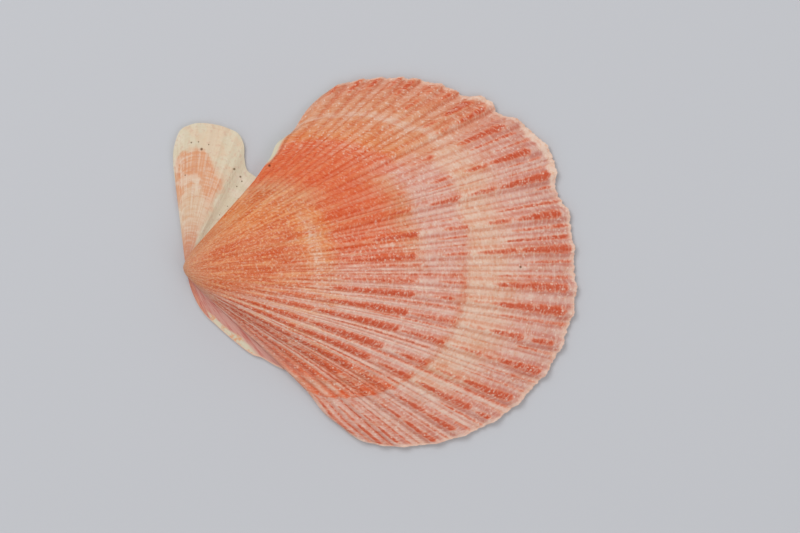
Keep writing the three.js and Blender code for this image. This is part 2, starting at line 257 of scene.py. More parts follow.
def smooth_disc(direction, growth):
    """The disc's surface with no ribs or ledges."""
    place = wandered(direction, growth)
    reach = REACH * margin_reach(place)
    angle = np.radians(swollen(place, growth)) - HINGE_TILT
    across = growth * reach * np.cos(angle)
    along = growth * reach * np.sin(angle)
    side = np.minimum(direction - SHORT_SIDE, LONG_SIDE - direction)
    flank = FLANK_DROP + (1 - FLANK_DROP) * smoothstep(side, 0, FLANK_WIDTH)
    height = EDGE_THICKNESS + across * np.sin(turn(growth)) * flank
    flat = (across * np.cos(turn(growth)))[:, None] * across_hinge + along[:, None] * along_hinge
    return flat + height[:, None] * up


def disc_normal(direction, growth):
    further = np.minimum(growth * 1.01, 1)
    ahead = smooth_disc(direction, further) - smooth_disc(direction, growth * 0.99)
    sideways = smooth_disc(direction + 1, growth) - smooth_disc(direction - 1, growth)
    normal = np.cross(ahead, sideways)
    return normal / np.linalg.norm(normal, axis=1)[:, None]


gaps = np.diff(np.concatenate([[SHORT_SIDE - 2], CRESTS, [LONG_SIDE + 2]]))
half_widths = np.minimum(RIB_HALF_WIDTH, RIB_SHARE_OF_GAP * np.minimum(gaps[:-1], gaps[1:]))

# The riblets share out each furrow evenly
riblets = []
for i in range(len(CRESTS) - 1):
    start = CRESTS[i] + RIBLET_CLEARANCE * half_widths[i]
    room = CRESTS[i + 1] - RIBLET_CLEARANCE * half_widths[i + 1] - start
    count = round(room / RIBLET_SPACING)
    riblets += [(start + (k + 0.5) * room / count, 0.5 * room / count) for k in range(count)]
riblets = np.array(riblets)


def rib_at(direction):
    """1 along a rib's crest, falling to 0 in the furrows."""
    away = np.abs(direction[:, None] - CRESTS) / half_widths
    return np.max(1 - smoothstep(away, 0, RIB_FOOT), axis=1)


def riblet_at(direction):
    """1 along a riblet's crest, 0 in the grooves beside it and on the ribs."""
    away = np.abs(direction[:, None] - riblets[:, 0]) / riblets[:, 1]
    return np.max(np.cos(np.pi / 2 * np.clip(away, 0, 1)) ** 2, axis=1)


def red_at(direction, growth):
    """How red the surface is, strongest along the middle of each red patch."""
    red = np.zeros(len(direction))
    patches = [(crest, RED_HALF_WIDTH, patch) for crest, group in RIBS for patch in group]
    patches += [(crest, RED_HALF_WIDTH / 2, patch) for crest, *patch in RED_RIBLETS]
    for crest, half, (start, end, strength) in patches:
        if start > LATE_RED:
            half *= 1 - LATE_RED_THINS * smoothstep(-crest, *LATE_RED_THIN_AT)
        widened = smoothstep(growth, start, start + RED_WIDENS_OVER)
        width = half * (RED_WIDTH_AT_START + RED_WIDENING * widened) / np.sqrt(growth)
        across = 1 - np.abs(direction - crest) / width
        begun = smoothstep(growth - start, *RED_FADES_IN)
        ended = smoothstep(growth - end, *RED_FADES_OUT)
        red = np.maximum(red, strength * across * begun * (1 - ended))
    return red


def ledge_at(growth):
    """Each ledge rises slowly towards the margin and then drops."""
    height = np.zeros(len(growth))
    for ledge in LEDGES:
        behind = ledge - growth
        rising = (behind >= 0) & (behind < LEDGE_RUN)
        height = np.where(rising, 1 - behind / LEDGE_RUN, height)
    return LEDGE_HEIGHT * height


def unit(direction):
    """A level step of length 1 in each direction."""
    angle = np.radians(direction)
    return np.stack([np.cos(angle), np.sin(angle), 0 * angle], 1)


def back_of_disc(direction, growth):
    """The disc's surface with its ribs, riblets and ledges, and with its scalloped margin."""
    rib, riblet = rib_at(direction), riblet_at(direction)
    relief = rib * RIB_HEIGHT * growth ** RIB_FADE + ledge_at(growth)
    relief += riblet * RIBLET_HEIGHT * smoothstep(growth, *RIBLETS_RISE)
    short, long = RAGGED_WAVES
    teeth = RAGGED * (riblet + np.sin(direction * short) * np.sin(direction * long + 1))
    lobes = LOBE * rib * smoothstep(growth, LOBES_FROM, 1)
    lobes += teeth * smoothstep(growth, RAGGED_FROM, 1)
    lobes *= SMOOTH_RIM_SHARE + (1 - SMOOTH_RIM_SHARE) * smoothstep(direction, *SMOOTH_RIM)
    raised = smooth_disc(direction, growth) + relief[:, None] * disc_normal(direction, growth)
    return raised + lobes[:, None] * unit(direction)


def write_marks(mesh, label, values):
    """One number kept on every point of a mesh."""
    mesh.attributes.new(label, "FLOAT", "POINT").data.foreach_set("value", values)


BACK, EARS, HOLLOW = range(3)


class Skin:
    """The points and faces of a closed body, gathered row by row from the beak outwards."""

    def __init__(self):
        self.points = []
        self.marks = []
        self.faces = []
        self.slots = []

    def add_row(self, surface, directions, growth):
        growths = np.full(len(directions), growth)
        first = len(self.points)
        self.points += surface(directions, growths).tolist()
        self.marks += [(direction, growth) for direction in directions]
        return list(zip(directions, range(first, len(self.points))))

    def add_point(self, point, direction, growth):
        self.points.append(list(point))
        self.marks.append((direction, growth))
        return len(self.points) - 1

    def add_feet(self, line, floor):
        """Points straight below a line of points, at the level of the floor."""
        feet = []
        for direction, index in line:
            x, y, z = self.points[index]
            feet.append((direction, self.add_point((x, y, floor), *self.marks[index])))
        return feet

    def face(self, corners, slot):
        self.faces.append(corners)
        self.slots.append(slot)

    def join(self, inner, outer, slot):
        """The faces between two rows, whose points needn't match."""
        i = j = 0
        while i + 1 < len(inner) or j + 1 < len(outer):
            inner_next = inner[i + 1][0] if i + 1 < len(inner) else math.inf
            outer_next = outer[j + 1][0] if j + 1 < len(outer) else math.inf
            if outer_next <= inner_next:
                self.face((inner[i][1], outer[j][1], outer[j + 1][1]), slot)
                j += 1
            else:
                self.face((inner[i][1], outer[j][1], inner[i + 1][1]), slot)
                i += 1

    def join_all(self, lines, slot):
        for inner, outer in zip(lines, lines[1:]):
            self.join(inner, outer, slot)

    def wall(self, line, feet, slot):
        for i in range(len(line) - 1):
            self.face((line[i][1], feet[i][1], feet[i + 1][1], line[i + 1][1]), slot)

    def fan(self, line, hub, slot):
        for i in range(len(line) - 1):
            self.face((line[i][1], hub, line[i + 1][1]), slot)

    def build(self, name, weight):
        """The body as an object, with each point's direction and growth kept on it."""
        mesh = bpy.data.meshes.new(name)
        mesh.from_pydata(self.points, [], self.faces)
        for slot in (BACK, EARS, HOLLOW):
            mesh.materials.append(None)
        mesh.polygons.foreach_set("material_index", self.slots)
        directions, growths = np.array(self.marks).T
        write_marks(mesh, "direction", directions)
        write_marks(mesh, "growth", growths)
        write_marks(mesh, "weight", np.full(len(self.points), weight))
        body = bpy.data.objects.new(name, mesh)
        bpy.context.collection.objects.link(body)
        return body


fine = np.arange(SHORT_SIDE, LONG_SIDE, COLUMN_STEP)
fine = np.append(fine, LONG_SIDE)


def directions_at(growth):
    every = next(every for above, every in COLUMNS_KEPT if growth > above)
    return np.append(fine[:-1:every], LONG_SIDE)


early = FIRST_GROWTH * (EARLY_UNTIL / FIRST_GROWTH) ** (np.arange(EARLY_ROWS) / (EARLY_ROWS - 1))
late = np.append(np.arange(EARLY_UNTIL + ROW_STEP, 1 - ROW_STEP / 2, ROW_STEP), 1)

# How much a body's marks count for the points that a cut makes between two bodies
DISC_WEIGHT = 1
OTHER_WEIGHT = 0.01

disc = Skin()
growths = np.concatenate([early, late])
lines = [disc.add_row(back_of_disc, directions_at(growth), growth) for growth in growths]
disc.join_all(lines, BACK)
short_side = [line[0] for line in lines]
long_side = [line[-1] for line in lines]
start = int(np.argmax(growths > SIDES_FROM))
rim = short_side[start:-1] + lines[-1] + long_side[start:-1][::-1]
feet = disc.add_feet(rim, 0)
hub = disc.add_point(tip, 0, FIRST_GROWTH)
disc.wall(rim, feet, BACK)
disc.face([index for direction, index in feet][::-1] + [hub], HOLLOW)
disc.fan(lines[0][::-1], hub, BACK)
disc.fan(short_side[: start + 1] + feet[:1], hub, BACK)
disc.fan((long_side[: start + 1] + feet[-1:])[::-1], hub, BACK)
disc = disc.build("disc", DISC_WEIGHT)


# The hollow underside.
# The wall is thinnest at the rim and thickest at the umbo, and its inner face is polished. It
# follows the back from below, with a groove under each rib towards the rim.

WALL_MARGIN = 0.85 * MM
WALL_UMBO = 1.5 * MM
WALL_THINS = (0.1, 0.8)
HOLLOW_FIRST = 0.085
HOLLOW_SIDE = 2.4
HOLLOW_RIB_SHARE = 0.6
HOLLOW_GROOVES_FROM = 0.45
HOLLOW_BELOW = -2 * MM
HOLLOW_ROWS = 56
HOLLOW_CROWDING = 1.15
HOLLOW_EVERY = 2
HOLLOW_EARLY = 0.2
HOLLOW_EARLY_EVERY = 4


def inner_face(direction, growth):
    wall = WALL_UMBO + (WALL_MARGIN - WALL_UMBO) * smoothstep(growth, *WALL_THINS)
    groove = HOLLOW_RIB_SHARE * RIB_HEIGHT * rib_at(direction)
    lift = groove * smoothstep(growth, HOLLOW_GROOVES_FROM, 1) - wall
    return smooth_disc(direction, growth) + lift[:, None] * disc_normal(direction, growth)


def closed_below(skin, lines, floor, slot):
    """Walls from the edge of a surface down to a level floor, and one face across it."""
    short_side = [line[0] for line in lines]
    long_side = [line[-1] for line in lines]
    rim = short_side + lines[-1][1:] + long_side[::-1][1:] + lines[0][::-1][1:]
    feet = skin.add_feet(rim[:-1], floor)
    skin.wall(rim, feet + feet[:1], slot)
    skin.face([index for direction, index in feet][::-1], HOLLOW)


below = fine[::HOLLOW_EVERY]
below = below[(below > SHORT_SIDE + HOLLOW_SIDE) & (below < LONG_SIDE - HOLLOW_SIDE)]
hollow = Skin()
lines = []
rows = np.linspace(0, 1, HOLLOW_ROWS) ** HOLLOW_CROWDING
for growth in HOLLOW_FIRST + (1 - HOLLOW_FIRST) * rows:
    every = 1 if growth > HOLLOW_EARLY else HOLLOW_EARLY_EVERY
    lines.append(hollow.add_row(inner_face, below[::every], growth))
hollow.join_all(lines, HOLLOW)
closed_below(hollow, lines, HOLLOW_BELOW, HOLLOW)
hollow = hollow.build("hollow", OTHER_WEIGHT)


# The two ears.
# They are thin plates on either side of the beak, grown in one with the disc and hollowed a little
# below. The long one has fine ribs, a rounded end and a smooth track left by the byssal notch.

LONG_EAR = (
    (44, 0.29), (51.4, 0.295), (55, 0.294), (58.5, 0.2975), (62.1, 0.32), (64.6, 0.3475),
    (68.5, 0.369), (73, 0.374), (78, 0.3755), (85, 0.373), (88.4, 0.367), (92.5, 0.352),
    (94.7, 0.325), (96.3, 0.295), (97, 0.264),
)
SHORT_EAR = (
    (-77, 0.045), (-74, 0.075), (-70.5, 0.107), (-66.3, 0.137), (-62, 0.165), (-56.9, 0.218),
    (-52.4, 0.28), (-49.7, 0.301), (-47.6, 0.336), (-45.1, 0.372), (-43.5, 0.38), (-36, 0.38),
)
EAR_RISE = 0.55
EAR_FIRST = 0.03
EAR_ROWS = 64
EAR_COLUMN_STEP = 0.5
EAR_EARLY = 0.3
EAR_EARLY_EVERY = 4
EAR_RIBS = np.array([69, 74.5, 80, 85.5, 91, 95])
EAR_RIB_HEIGHT = 0.12 * MM
EAR_RIB_HALF_WIDTH = 2
BYSSAL_TRACK = (52, 64.6)
BYSSAL_DEPTH = 0.3 * MM

# The hollow below each ear, from one direction to another and one growth to another
LONG_EAR_HOLLOW = (57, 94)
SHORT_EAR_HOLLOW = (-73, -51)
EAR_HOLLOW_GROWTH = (0.2, 0.93)
EAR_HOLLOW_DEPTH = 0.3 * MM
EAR_HOLLOW_START = 0.05 * MM
EAR_HOLLOW_ROWS = 30


def ear_plan(outline):
    """Places on an ear, as seen from straight above."""
    reach = curve_through(outline)

    def plan(direction, growth):
        return unit(direction) * (growth * reach(direction) * REACH)[:, None]

    return plan


def ear_surface(outline, relief):
    plan = ear_plan(outline)

    def surface(direction, growth):
        flat = plan(direction, growth)
        rise = np.maximum(flat @ across_hinge, 0) * np.sin(turn(growth)) * EAR_RISE
        return tip + flat + (EDGE_THICKNESS + rise + growth * relief(direction))[:, None] * up

    return surface


def long_ear_relief(direction):
    start, end = BYSSAL_TRACK
    track = np.sin(np.pi * np.clip((direction - start) / (end - start), 0, 1))
    away = np.min(np.abs(direction[:, None] - EAR_RIBS), axis=1) / EAR_RIB_HALF_WIDTH
    return EAR_RIB_HEIGHT * (1 - smoothstep(away, 0, 1)) - BYSSAL_DEPTH * track


def ear_body(name, outline, relief):
    ear = Skin()
    surface = ear_surface(outline, relief)
    places = [direction for direction, reach in outline]
    between = np.arange(places[0], places[-1], EAR_COLUMN_STEP)
    directions = np.unique(np.concatenate([between, places]))
    growths = np.maximum(np.linspace(0, 1, EAR_ROWS), EAR_FIRST)[2:]
    lines = []
    for growth in (EAR_FIRST, *growths):
        every = 1 if growth > EAR_EARLY else EAR_EARLY_EVERY
        thinned = np.unique(np.append(directions[::every], directions[-1]))
        lines.append(ear.add_row(surface, thinned, growth))
    ear.join_all(lines, EARS)
    closed_below(ear, lines, 0, EARS)
    return ear.build(name, OTHER_WEIGHT)


def ear_hollow(name, outline, sides):
    """The shallow hollow below an ear, inside a level edge."""
    plan = ear_plan(outline)

    def dome(value, start, end):
        return np.sin(np.pi * (value - start) / (end - start))

    def surface(direction, growth):
        height = EAR_HOLLOW_DEPTH * dome(direction, *sides) * dome(growth, *EAR_HOLLOW_GROWTH)
        return tip + plan(direction, growth) + (height - EAR_HOLLOW_START)[:, None] * up

    skin = Skin()
    directions = np.arange(sides[0], sides[1] + 1, 1.0)
    growths = np.linspace(*EAR_HOLLOW_GROWTH, EAR_HOLLOW_ROWS)
    lines = [skin.add_row(surface, directions, growth) for growth in growths]
    skin.join_all(lines, HOLLOW)
    closed_below(skin, lines, HOLLOW_BELOW, HOLLOW)
    return skin.build(name, OTHER_WEIGHT)


long_ear = ear_body("long_ear", LONG_EAR, long_ear_relief)
short_ear = ear_body("short_ear", SHORT_EAR, lambda direction: 0 * direction)
below_long_ear = ear_hollow("below_long_ear", LONG_EAR, LONG_EAR_HOLLOW)
below_short_ear = ear_hollow("below_short_ear", SHORT_EAR, SHORT_EAR_HOLLOW)


# The valve as one piece.
# Disc and ears are fused and the hollows are taken out, so the shell is a single closed wall. It
# stands where the frame says, over the middle of the node that it replaces.

STEPS = (
    (long_ear, "UNION"), (short_ear, "UNION"), (hollow, "DIFFERENCE"),
    (below_long_ear, "DIFFERENCE"), (below_short_ear, "DIFFERENCE"),
)
SHARP_ANGLE = math.radians(50)

for tool, operation in STEPS:
    cut = disc.modifiers.new(tool.name, "BOOLEAN")
    cut.solver = "MANIFOLD"
    cut.operation = operation
    cut.object = tool
fused = disc.evaluated_get(bpy.context.evaluated_depsgraph_get())
shell_mesh = bpy.data.meshes.new_from_object(fused)
for body in (disc, *(tool for tool, operation in STEPS)):
    bpy.data.objects.remove(body)


def read_marks(mesh, label):
    values = np.empty(len(mesh.vertices), np.float32)
    mesh.attributes[label].data.foreach_get("value", values)
    return values.astype(float)


# Points made by the cuts have no marks yet, and take their neighbours', the disc's before the rest
ends = np.empty(2 * len(shell_mesh.edges), np.int32)
shell_mesh.edges.foreach_get("vertices", ends)
ends = ends.reshape(-1, 2)
marks = {label: read_marks(shell_mesh, label) for label in ("direction", "growth")}
weight = read_marks(shell_mesh, "weight")
for least in (DISC_WEIGHT, OTHER_WEIGHT):
    while True:
        source = (weight > 0.9 * least).astype(float)
        around = np.zeros(len(weight))
        for a, b in (ends.T, ends.T[::-1]):
            np.add.at(around, b, source[a])
        reached = (weight == 0) & (around > 0)
        if not reached.any():
            break
        for label, values in marks.items():
            total = np.zeros(len(weight))
            for a, b in (ends.T, ends.T[::-1]):
                np.add.at(total, b, source[a] * values[a])
            values[reached] = total[reached] / around[reached]
        weight[reached] = least
for label, values in marks.items():
    shell_mesh.attributes[label].data.foreach_set("value", values)
shell_mesh.attributes.remove(shell_mesh.attributes["weight"])

on_disc = (marks["direction"] >= SHORT_SIDE) & (marks["direction"] <= LONG_SIDE)
threads = np.sort(np.concatenate([CRESTS, riblets[:, 0]]))
write_marks(shell_mesh, "red", red_at(marks["direction"], marks["growth"]) * on_disc)
write_marks(shell_mesh, "rib", rib_at(marks["direction"]) * on_disc)
write_marks(shell_mesh, "thread", np.interp(marks["direction"], threads, np.arange(len(threads))))

low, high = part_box("valve")
places = np.empty(3 * len(shell_mesh.vertices), np.float32)
shell_mesh.vertices.foreach_get("co", places)
places = places.reshape(-1, 3)
middle = (places.min(0) + places.max(0)) / 2
beak = np.array([(low.x + high.x) / 2 - middle[0], (low.y + high.y) / 2 - middle[1], 0])
shell_mesh.vertices.foreach_set("co", (places + beak).astype(np.float32).ravel())
shell_mesh.shade_smooth()
shell_mesh.set_sharp_from_angle(angle=SHARP_ANGLE)
shell = bpy.data.objects.new("fan_shell", shell_mesh)
bpy.context.collection.objects.link(shell)
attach(shell, "root")
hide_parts("valve")


# The colours of the back.
# Bands of orange, salmon and blush follow the growth, and each side of the disc has its own run of
# them. Red patches sit on the ribs, and pale flecks and fine growth lines cross everything.

PALETTE = {
    "gold": (220, 164, 130),
    "straw": (230, 174, 124),
    "salmon": (207, 134, 103),
    "umbo": (208, 118, 76),
    "amber": (216, 132, 76),
    "peach": (211, 145, 106),
    "orange": (212, 104, 58),
    "coral": (216, 110, 66),
    "blush": (211, 160, 146),
    "pink white": (223, 184, 170),
    "cream": (218, 178, 155),
    "ivory": (228, 204, 186),
    "rose": (199, 146, 134),
    "dusk": (188, 106, 94),
    "brick": (190, 73, 36),
    "shell white": (222, 210, 193),
    "fasciole": (207, 198, 174),
    "ear orange": (208, 148, 110),
}


def colour(name):
    """A palette colour in the linear values that the shader works in."""
    shares = [value / 255 for value in PALETTE[name]]
    return tuple(((share + 0.055) / 1.055) ** 2.4 for share in shares) + (1.0,)


PHOTO_REACH = 390
PHOTO_SCALE = REACH / PHOTO_REACH
PHOTO_BEAK = (189, 267.5)


def in_photo(x, y, height):
    """The place at this height that shows at a pixel of the photo."""
    along, across = (x - PHOTO_BEAK[0]) * PHOTO_SCALE, (PHOTO_BEAK[1] - y) * PHOTO_SCALE
    return beak[0] + along, beak[1] + across, height


class Paint:
    """A material built up from marks on the mesh and from noise."""

    def __init__(self, name):
        self.material = bpy.data.materials.new(name)
        self.material.use_nodes = True
        self.tree = self.material.node_tree
        self.tree.nodes.clear()

    def node(self, kind, inputs, output=0, **settings):
        """A node with its inputs fed by other nodes or by plain values."""
        node = self.tree.nodes.new(kind)
        for name, value in settings.items():
            setattr(node, name, value)
        for name, value in inputs.items():
            if isinstance(value, bpy.types.NodeSocket):
                self.tree.links.new(value, node.inputs[name])
            else:
                node.inputs[name].default_value = value
        return node.outputs[output]

    def mark(self, name):
        return self.node("ShaderNodeAttribute", {}, "Fac", attribute_name=name)

    def sum(self, first, second):
        return self.node("ShaderNodeMath", {0: first, 1: second}, operation="ADD")

    def times(self, first, second):
        return self.node("ShaderNodeMath", {0: first, 1: second}, operation="MULTIPLY")

    def rest(self, share):
        return self.node("ShaderNodeMath", {0: 1.0, 1: share}, operation="SUBTRACT")

    def step(self, value, low, high):
        """0 at low, 1 at high, and smooth between."""
        inputs = {"Value": value, "From Min": low, "From Max": high}
        return self.node("ShaderNodeMapRange", inputs, interpolation_type="SMOOTHSTEP")

    def window(self, value, start, end, soft):
        """1 between start and end, and 0 outside."""
        begun = self.step(value, start - soft, start + soft)
        return self.times(begun, self.step(value, end + soft, end - soft))

    def blend(self, share, first, second, how="MIX"):
        inputs = {"Factor": share, "A": first, "B": second}
        return self.node("ShaderNodeMix", inputs, "Result", data_type="RGBA", blend_type=how)

    def deepen(self, share, painted, tint):
        return self.blend(share, painted, tint, "MULTIPLY")

    def bands(self, value, bands):
        ramp = self.tree.nodes.new("ShaderNodeValToRGB")
        elements = ramp.color_ramp.elements
        elements.remove(elements[1])
        elements[0].position, elements[0].color = bands[0][0], colour(bands[0][1])
        for place, name in bands[1:]:
            elements.new(place).color = colour(name)
        self.tree.links.new(value, ramp.inputs["Fac"])
        return ramp.outputs["Color"]

    def place(self, along, across, number=None):
        """A place on the shell, counted in steps of growth and of degrees."""
        along = self.times(self.mark("growth"), along)
        across = self.times(number or self.mark("direction"), across)
        return self.node("ShaderNodeCombineXYZ", {"X": along, "Y": across})

    def spot(self):
        return self.node("ShaderNodeTexCoord", {}, "Object")

    def noise(self, place, scale=1.0, detail=3.0, roughness=0.6):
        inputs = {"Vector": place, "Scale": scale, "Detail": detail, "Roughness": roughness}
        return self.node("ShaderNodeTexNoise", inputs, "Fac")

    def cells(self, size, output):
        """Scattered round cells, each with its own colour."""
        return self.node("ShaderNodeTexVoronoi", {"Vector": self.spot(), "Scale": 1 / size}, output)

    def pits(self, pits):
        """1 in each small pit and 0 around it, from places in the photo and radii in mm."""
        level = {0: self.spot(), 1: (1, 1, 0)}
        flat = self.node("ShaderNodeVectorMath", level, operation="MULTIPLY")
        total = 0.0
        for x, y, radius in pits:
            from_here = {0: flat, 1: in_photo(x, y, 0)}
            away = self.node("ShaderNodeVectorMath", from_here, "Value", operation="DISTANCE")
            total = self.sum(total, self.step(away, 1.5 * radius * MM, 0.3 * radius * MM))
        return total

    def finish(self, painted, roughness, shine, relief=None, depth=0.0):
        inputs = {"Base Color": painted, "Roughness": roughness, "Specular IOR Level": shine}
        if relief:
            bump = {"Height": relief, "Distance": depth, "Strength": 1.0}
            inputs["Normal"] = self.node("ShaderNodeBump", bump)
        surface = self.node("ShaderNodeBsdfPrincipled", inputs)
        output = self.tree.nodes.new("ShaderNodeOutputMaterial")
        self.tree.links.new(surface, output.inputs["Surface"])


# What the ground colour is at each growth, on each side of the disc
LONG_SIDE_BANDS = (
    (0.05, "gold"), (0.12, "peach"), (0.3, "amber"), (0.43, "peach"), (0.49, "coral"),
    (0.58, "coral"), (0.66, "coral"), (0.69, "amber"), (0.79, "peach"), (0.8, "cream"),
    (0.83, "peach"), (0.97, "salmon"),
)
UPPER_BANDS = (
    (0.04, "gold"), (0.14, "umbo"), (0.33, "umbo"), (0.36, "amber"), (0.37, "peach"),
    (0.4, "amber"), (0.43, "orange"), (0.54, "coral"), (0.6, "peach"), (0.64, "blush"),
    (0.72, "blush"), (0.75, "cream"), (0.8, "cream"), (0.86, "blush"), (0.97, "rose"),
)
LOWER_BANDS = (
    (0.04, "gold"), (0.14, "umbo"), (0.35, "umbo"), (0.4, "salmon"), (0.44, "blush"),
    (0.6, "blush"), (0.7, "blush"), (0.717, "salmon"), (0.724, "salmon"), (0.729, "cream"),
    (0.8, "cream"), (0.88, "blush"), (0.97, "rose"),
)
SHORT_SIDE_BANDS = (
    (0.04, "gold"), (0.12, "salmon"), (0.25, "blush"), (0.4, "blush"), (0.48, "salmon"),
    (0.59, "coral"), (0.65, "salmon"), (0.69, "coral"), (0.724, "coral"), (0.729, "blush"),
    (0.88, "blush"), (0.97, "rose"),
)
DEEP_ORANGE = (0.92, 0.62, 0.4, 1.0)
DEEP_RED = (0.92, 0.62, 0.53, 1.0)

# Where each side's run of bands passes into the next, in degrees
SHORT_TO_LOWER = (-32.0, -24.0)
LOWER_TO_UPPER = (-4.0, 7.0)
UPPER_TO_LONG = (20.0, 31.0)

# How fine each noise is, in cells from beak to rim and in cells a degree, or a riblet for STRANDS
WAVES = (12.0, 0.8)
STRANDS = (14.0, 3.7)
RAYS = (9.0, 0.35)
RING_BREAKS = (90.0, 1.3)
SCALES = (120.0, 1.1)
GROWTH_LINES = (150.0, 0.7)
RIM_BREAKS = (0.0, 0.5)

# Grains in cells a metre, and the size of a chipped one
GRAIN = 1 / (0.5 * MM)
CHIP = 0.4 * MM

# How far edges waver: those of the bands in growth and in degrees, that of the foot in height
WAVER_IN_GROWTH = 0.035
WAVER_IN_DEGREES = 10.0
FOOT_WAVER = 1.0 * MM

# Where each mark lies, in growth or in degrees, as (from, to, softness)
CORAL_FIELD = (0.43, 0.61, 0.03)
YOUNG_RING = (0.36, 0.385, 0.008)
YOUNG_RING_SIDE = (-6.0, 20.0, 4.0)
PALE_LOBES = ((13.0, 23.0, 2.0), (28.3, 31.0, 0.5))
TAB_GROWTH = (0.6, 0.77, 0.02)
# CREASE_SIDE and CREASE_GROWTH place the painted shadow in the crease behind the tab
CREASE_SIDE = (49.8, 50.3, 0.15)
CREASE_GROWTH = (0.56, 0.76, 0.03)

# Where a colour comes in, from none of it to all
PALE_RIM = (0.986, 0.998)
TAB_SIDE = (50.2, 51.0)
FOOT_HEIGHT = (1.1 * MM, 0.4 * MM)

# Small dark pits as (x, y, radius in mm), placed by their pixels in the photo
BACK_PITS = ((520, 267, 0.18), (270, 166, 0.2))
PIT = (0.24, 0.18, 0.1, 1.0)
# The tint of the painted shadow in the crease behind the cream tab
CREASE_SHADOW = (0.5, 0.3, 0.25, 1.0)
BACK_ROUGHNESS = 0.45
BACK_SHINE = 0.2
BACK_RELIEF = 0.14 * MM

back = Paint("shell_back")
growth = back.mark("growth")
direction = back.mark("direction")
thread = back.mark("thread")

# The edges of the bands waver from rib to rib
waver = back.sum(back.noise(back.place(*WAVES)), -0.5)
age = back.sum(growth, back.times(waver, WAVER_IN_GROWTH))
side = back.sum(direction, back.times(waver, WAVER_IN_DEGREES))
painted = back.bands(age, SHORT_SIDE_BANDS)
painted = back.blend(back.step(side, *SHORT_TO_LOWER), painted, back.bands(age, LOWER_BANDS))
painted = back.blend(back.step(side, *LOWER_TO_UPPER), painted, back.bands(age, UPPER_BANDS))
painted = back.blend(back.step(side, *UPPER_TO_LONG), painted, back.bands(age, LONG_SIDE_BANDS))

# Every riblet is a strand of its own, some of them paler and some redder along parts of it
crest = back.node("ShaderNodeMath", {0: back.times(thread, 2 * math.pi)}, operation="COSINE")
crest = back.sum(back.times(crest, 0.5), 0.5)
number = back.node("ShaderNodeMath", {0: thread}, operation="ROUND")
strand = back.noise(back.place(*STRANDS, number))
painted = back.deepen(back.times(back.step(strand, 0.52, 0.36), 0.5), painted, DEEP_ORANGE)
stark = back.step(back.sum(growth, back.times(side, -0.006)), 0.22, 0.45)
blushing = back.times(back.step(side, -6.0, -18.0), back.step(growth, 0.48, 0.38))
painted = back.blend(back.times(blushing, back.times(stark, 0.6)), painted, colour("blush"))

# The furrows are paler than the ribs, most of all on the lower half
furrow = back.times(back.step(back.mark("rib"), 0.4, 0.05), stark)
lower = back.times(back.step(side, -2.0, -14.0), back.step(growth, 0.73, 0.69))
orange_band = back.times(back.step(side, -27.0, -33.0), back.step(growth, 0.6, 0.64))
lower = back.times(lower, back.rest(orange_band))
corner = back.times(back.step(side, -18.0, -30.0), back.step(growth, 0.72, 0.74))
lower = back.sum(lower, back.times(corner, 0.9))
furrow = back.times(furrow, back.sum(0.1, back.times(lower, 0.42)))
painted = back.blend(furrow, painted, colour("pink white"))
solid = back.times(back.window(age, *CORAL_FIELD), back.step(side, 6.0, 16.0))
calm = back.rest(back.times(solid, 0.5))
plain = back.times(back.rest(back.times(back.step(side, 5.0, 25.0), 0.6)), calm)
stark_strand = back.times(stark, plain)
pale_strand = back.times(back.step(strand, 0.45, 0.66), back.times(stark_strand, 0.42))
pale_strand = back.times(crest, back.sum(pale_strand, back.times(stark_strand, 0.14)))
painted = back.blend(pale_strand, painted, colour("ivory"))
# Painted shade together with the shell's own thin red lines: the grooves between the threads are
# darkened towards deep red, more where the riblets stand higher
groove_shade_and_line_strength = back.sum(0.1, back.times(back.step(growth, 0.1, 0.4), 0.5))
grooves = back.times(back.step(crest, 0.45, 0.0), groove_shade_and_line_strength)
painted = back.deepen(grooves, painted, DEEP_RED)

# Broad rays of deeper and paler orange spread from the beak
rays = back.noise(back.place(*RAYS))
old = back.step(growth, 0.6, 0.35)
painted = back.deepen(back.times(back.step(rays, 0.5, 0.34), old), painted, DEEP_ORANGE)
pale_rays = back.times(back.step(rays, 0.5, 0.66), back.times(old, 0.42))
painted = back.blend(pale_rays, painted, colour("straw"))

# A broken pale ring where the young shell paused
ring = back.times(back.window(age, *YOUNG_RING), back.window(side, *YOUNG_RING_SIDE))
ring = back.times(ring, back.step(back.noise(back.place(*RING_BREAKS)), 0.44, 0.62))
painted = back.blend(back.times(ring, 0.5), painted, colour("ivory"))

# Red patches, broken up by the scales that cross the ribs
scales = back.noise(back.place(*SCALES), detail=4.0, roughness=0.65)
mottle = back.noise(back.spot(), GRAIN * 0.6, 2.0)
red = back.mark("red")
redness = back.sum(red, back.times(back.sum(scales, -0.5), back.sum(0.25, red)))
redness = back.sum(redness, back.times(back.sum(mottle, -0.5), back.sum(0.2, red)))
painted = back.blend(back.times(back.step(redness, 0.12, 0.4), 0.6), painted, colour("coral"))
painted = back.blend(back.times(back.step(redness, 0.25, 0.65), 0.85), painted, colour("brick"))

# The rim is pale, most of all on two of its upper lobes
ragged = back.times(back.sum(back.noise(back.place(*RIM_BREAKS)), -0.5), 0.05)
lobes = back.sum(*(back.window(direction, *lobe) for lobe in PALE_LOBES))
pale_rim = back.step(back.sum(back.sum(growth, ragged), back.times(lobes, 0.012)), *PALE_RIM)
pale_rim = back.times(pale_rim, back.sum(0.6, back.times(lobes, 0.2)))
painted = back.blend(pale_rim, painted, colour("ivory"))

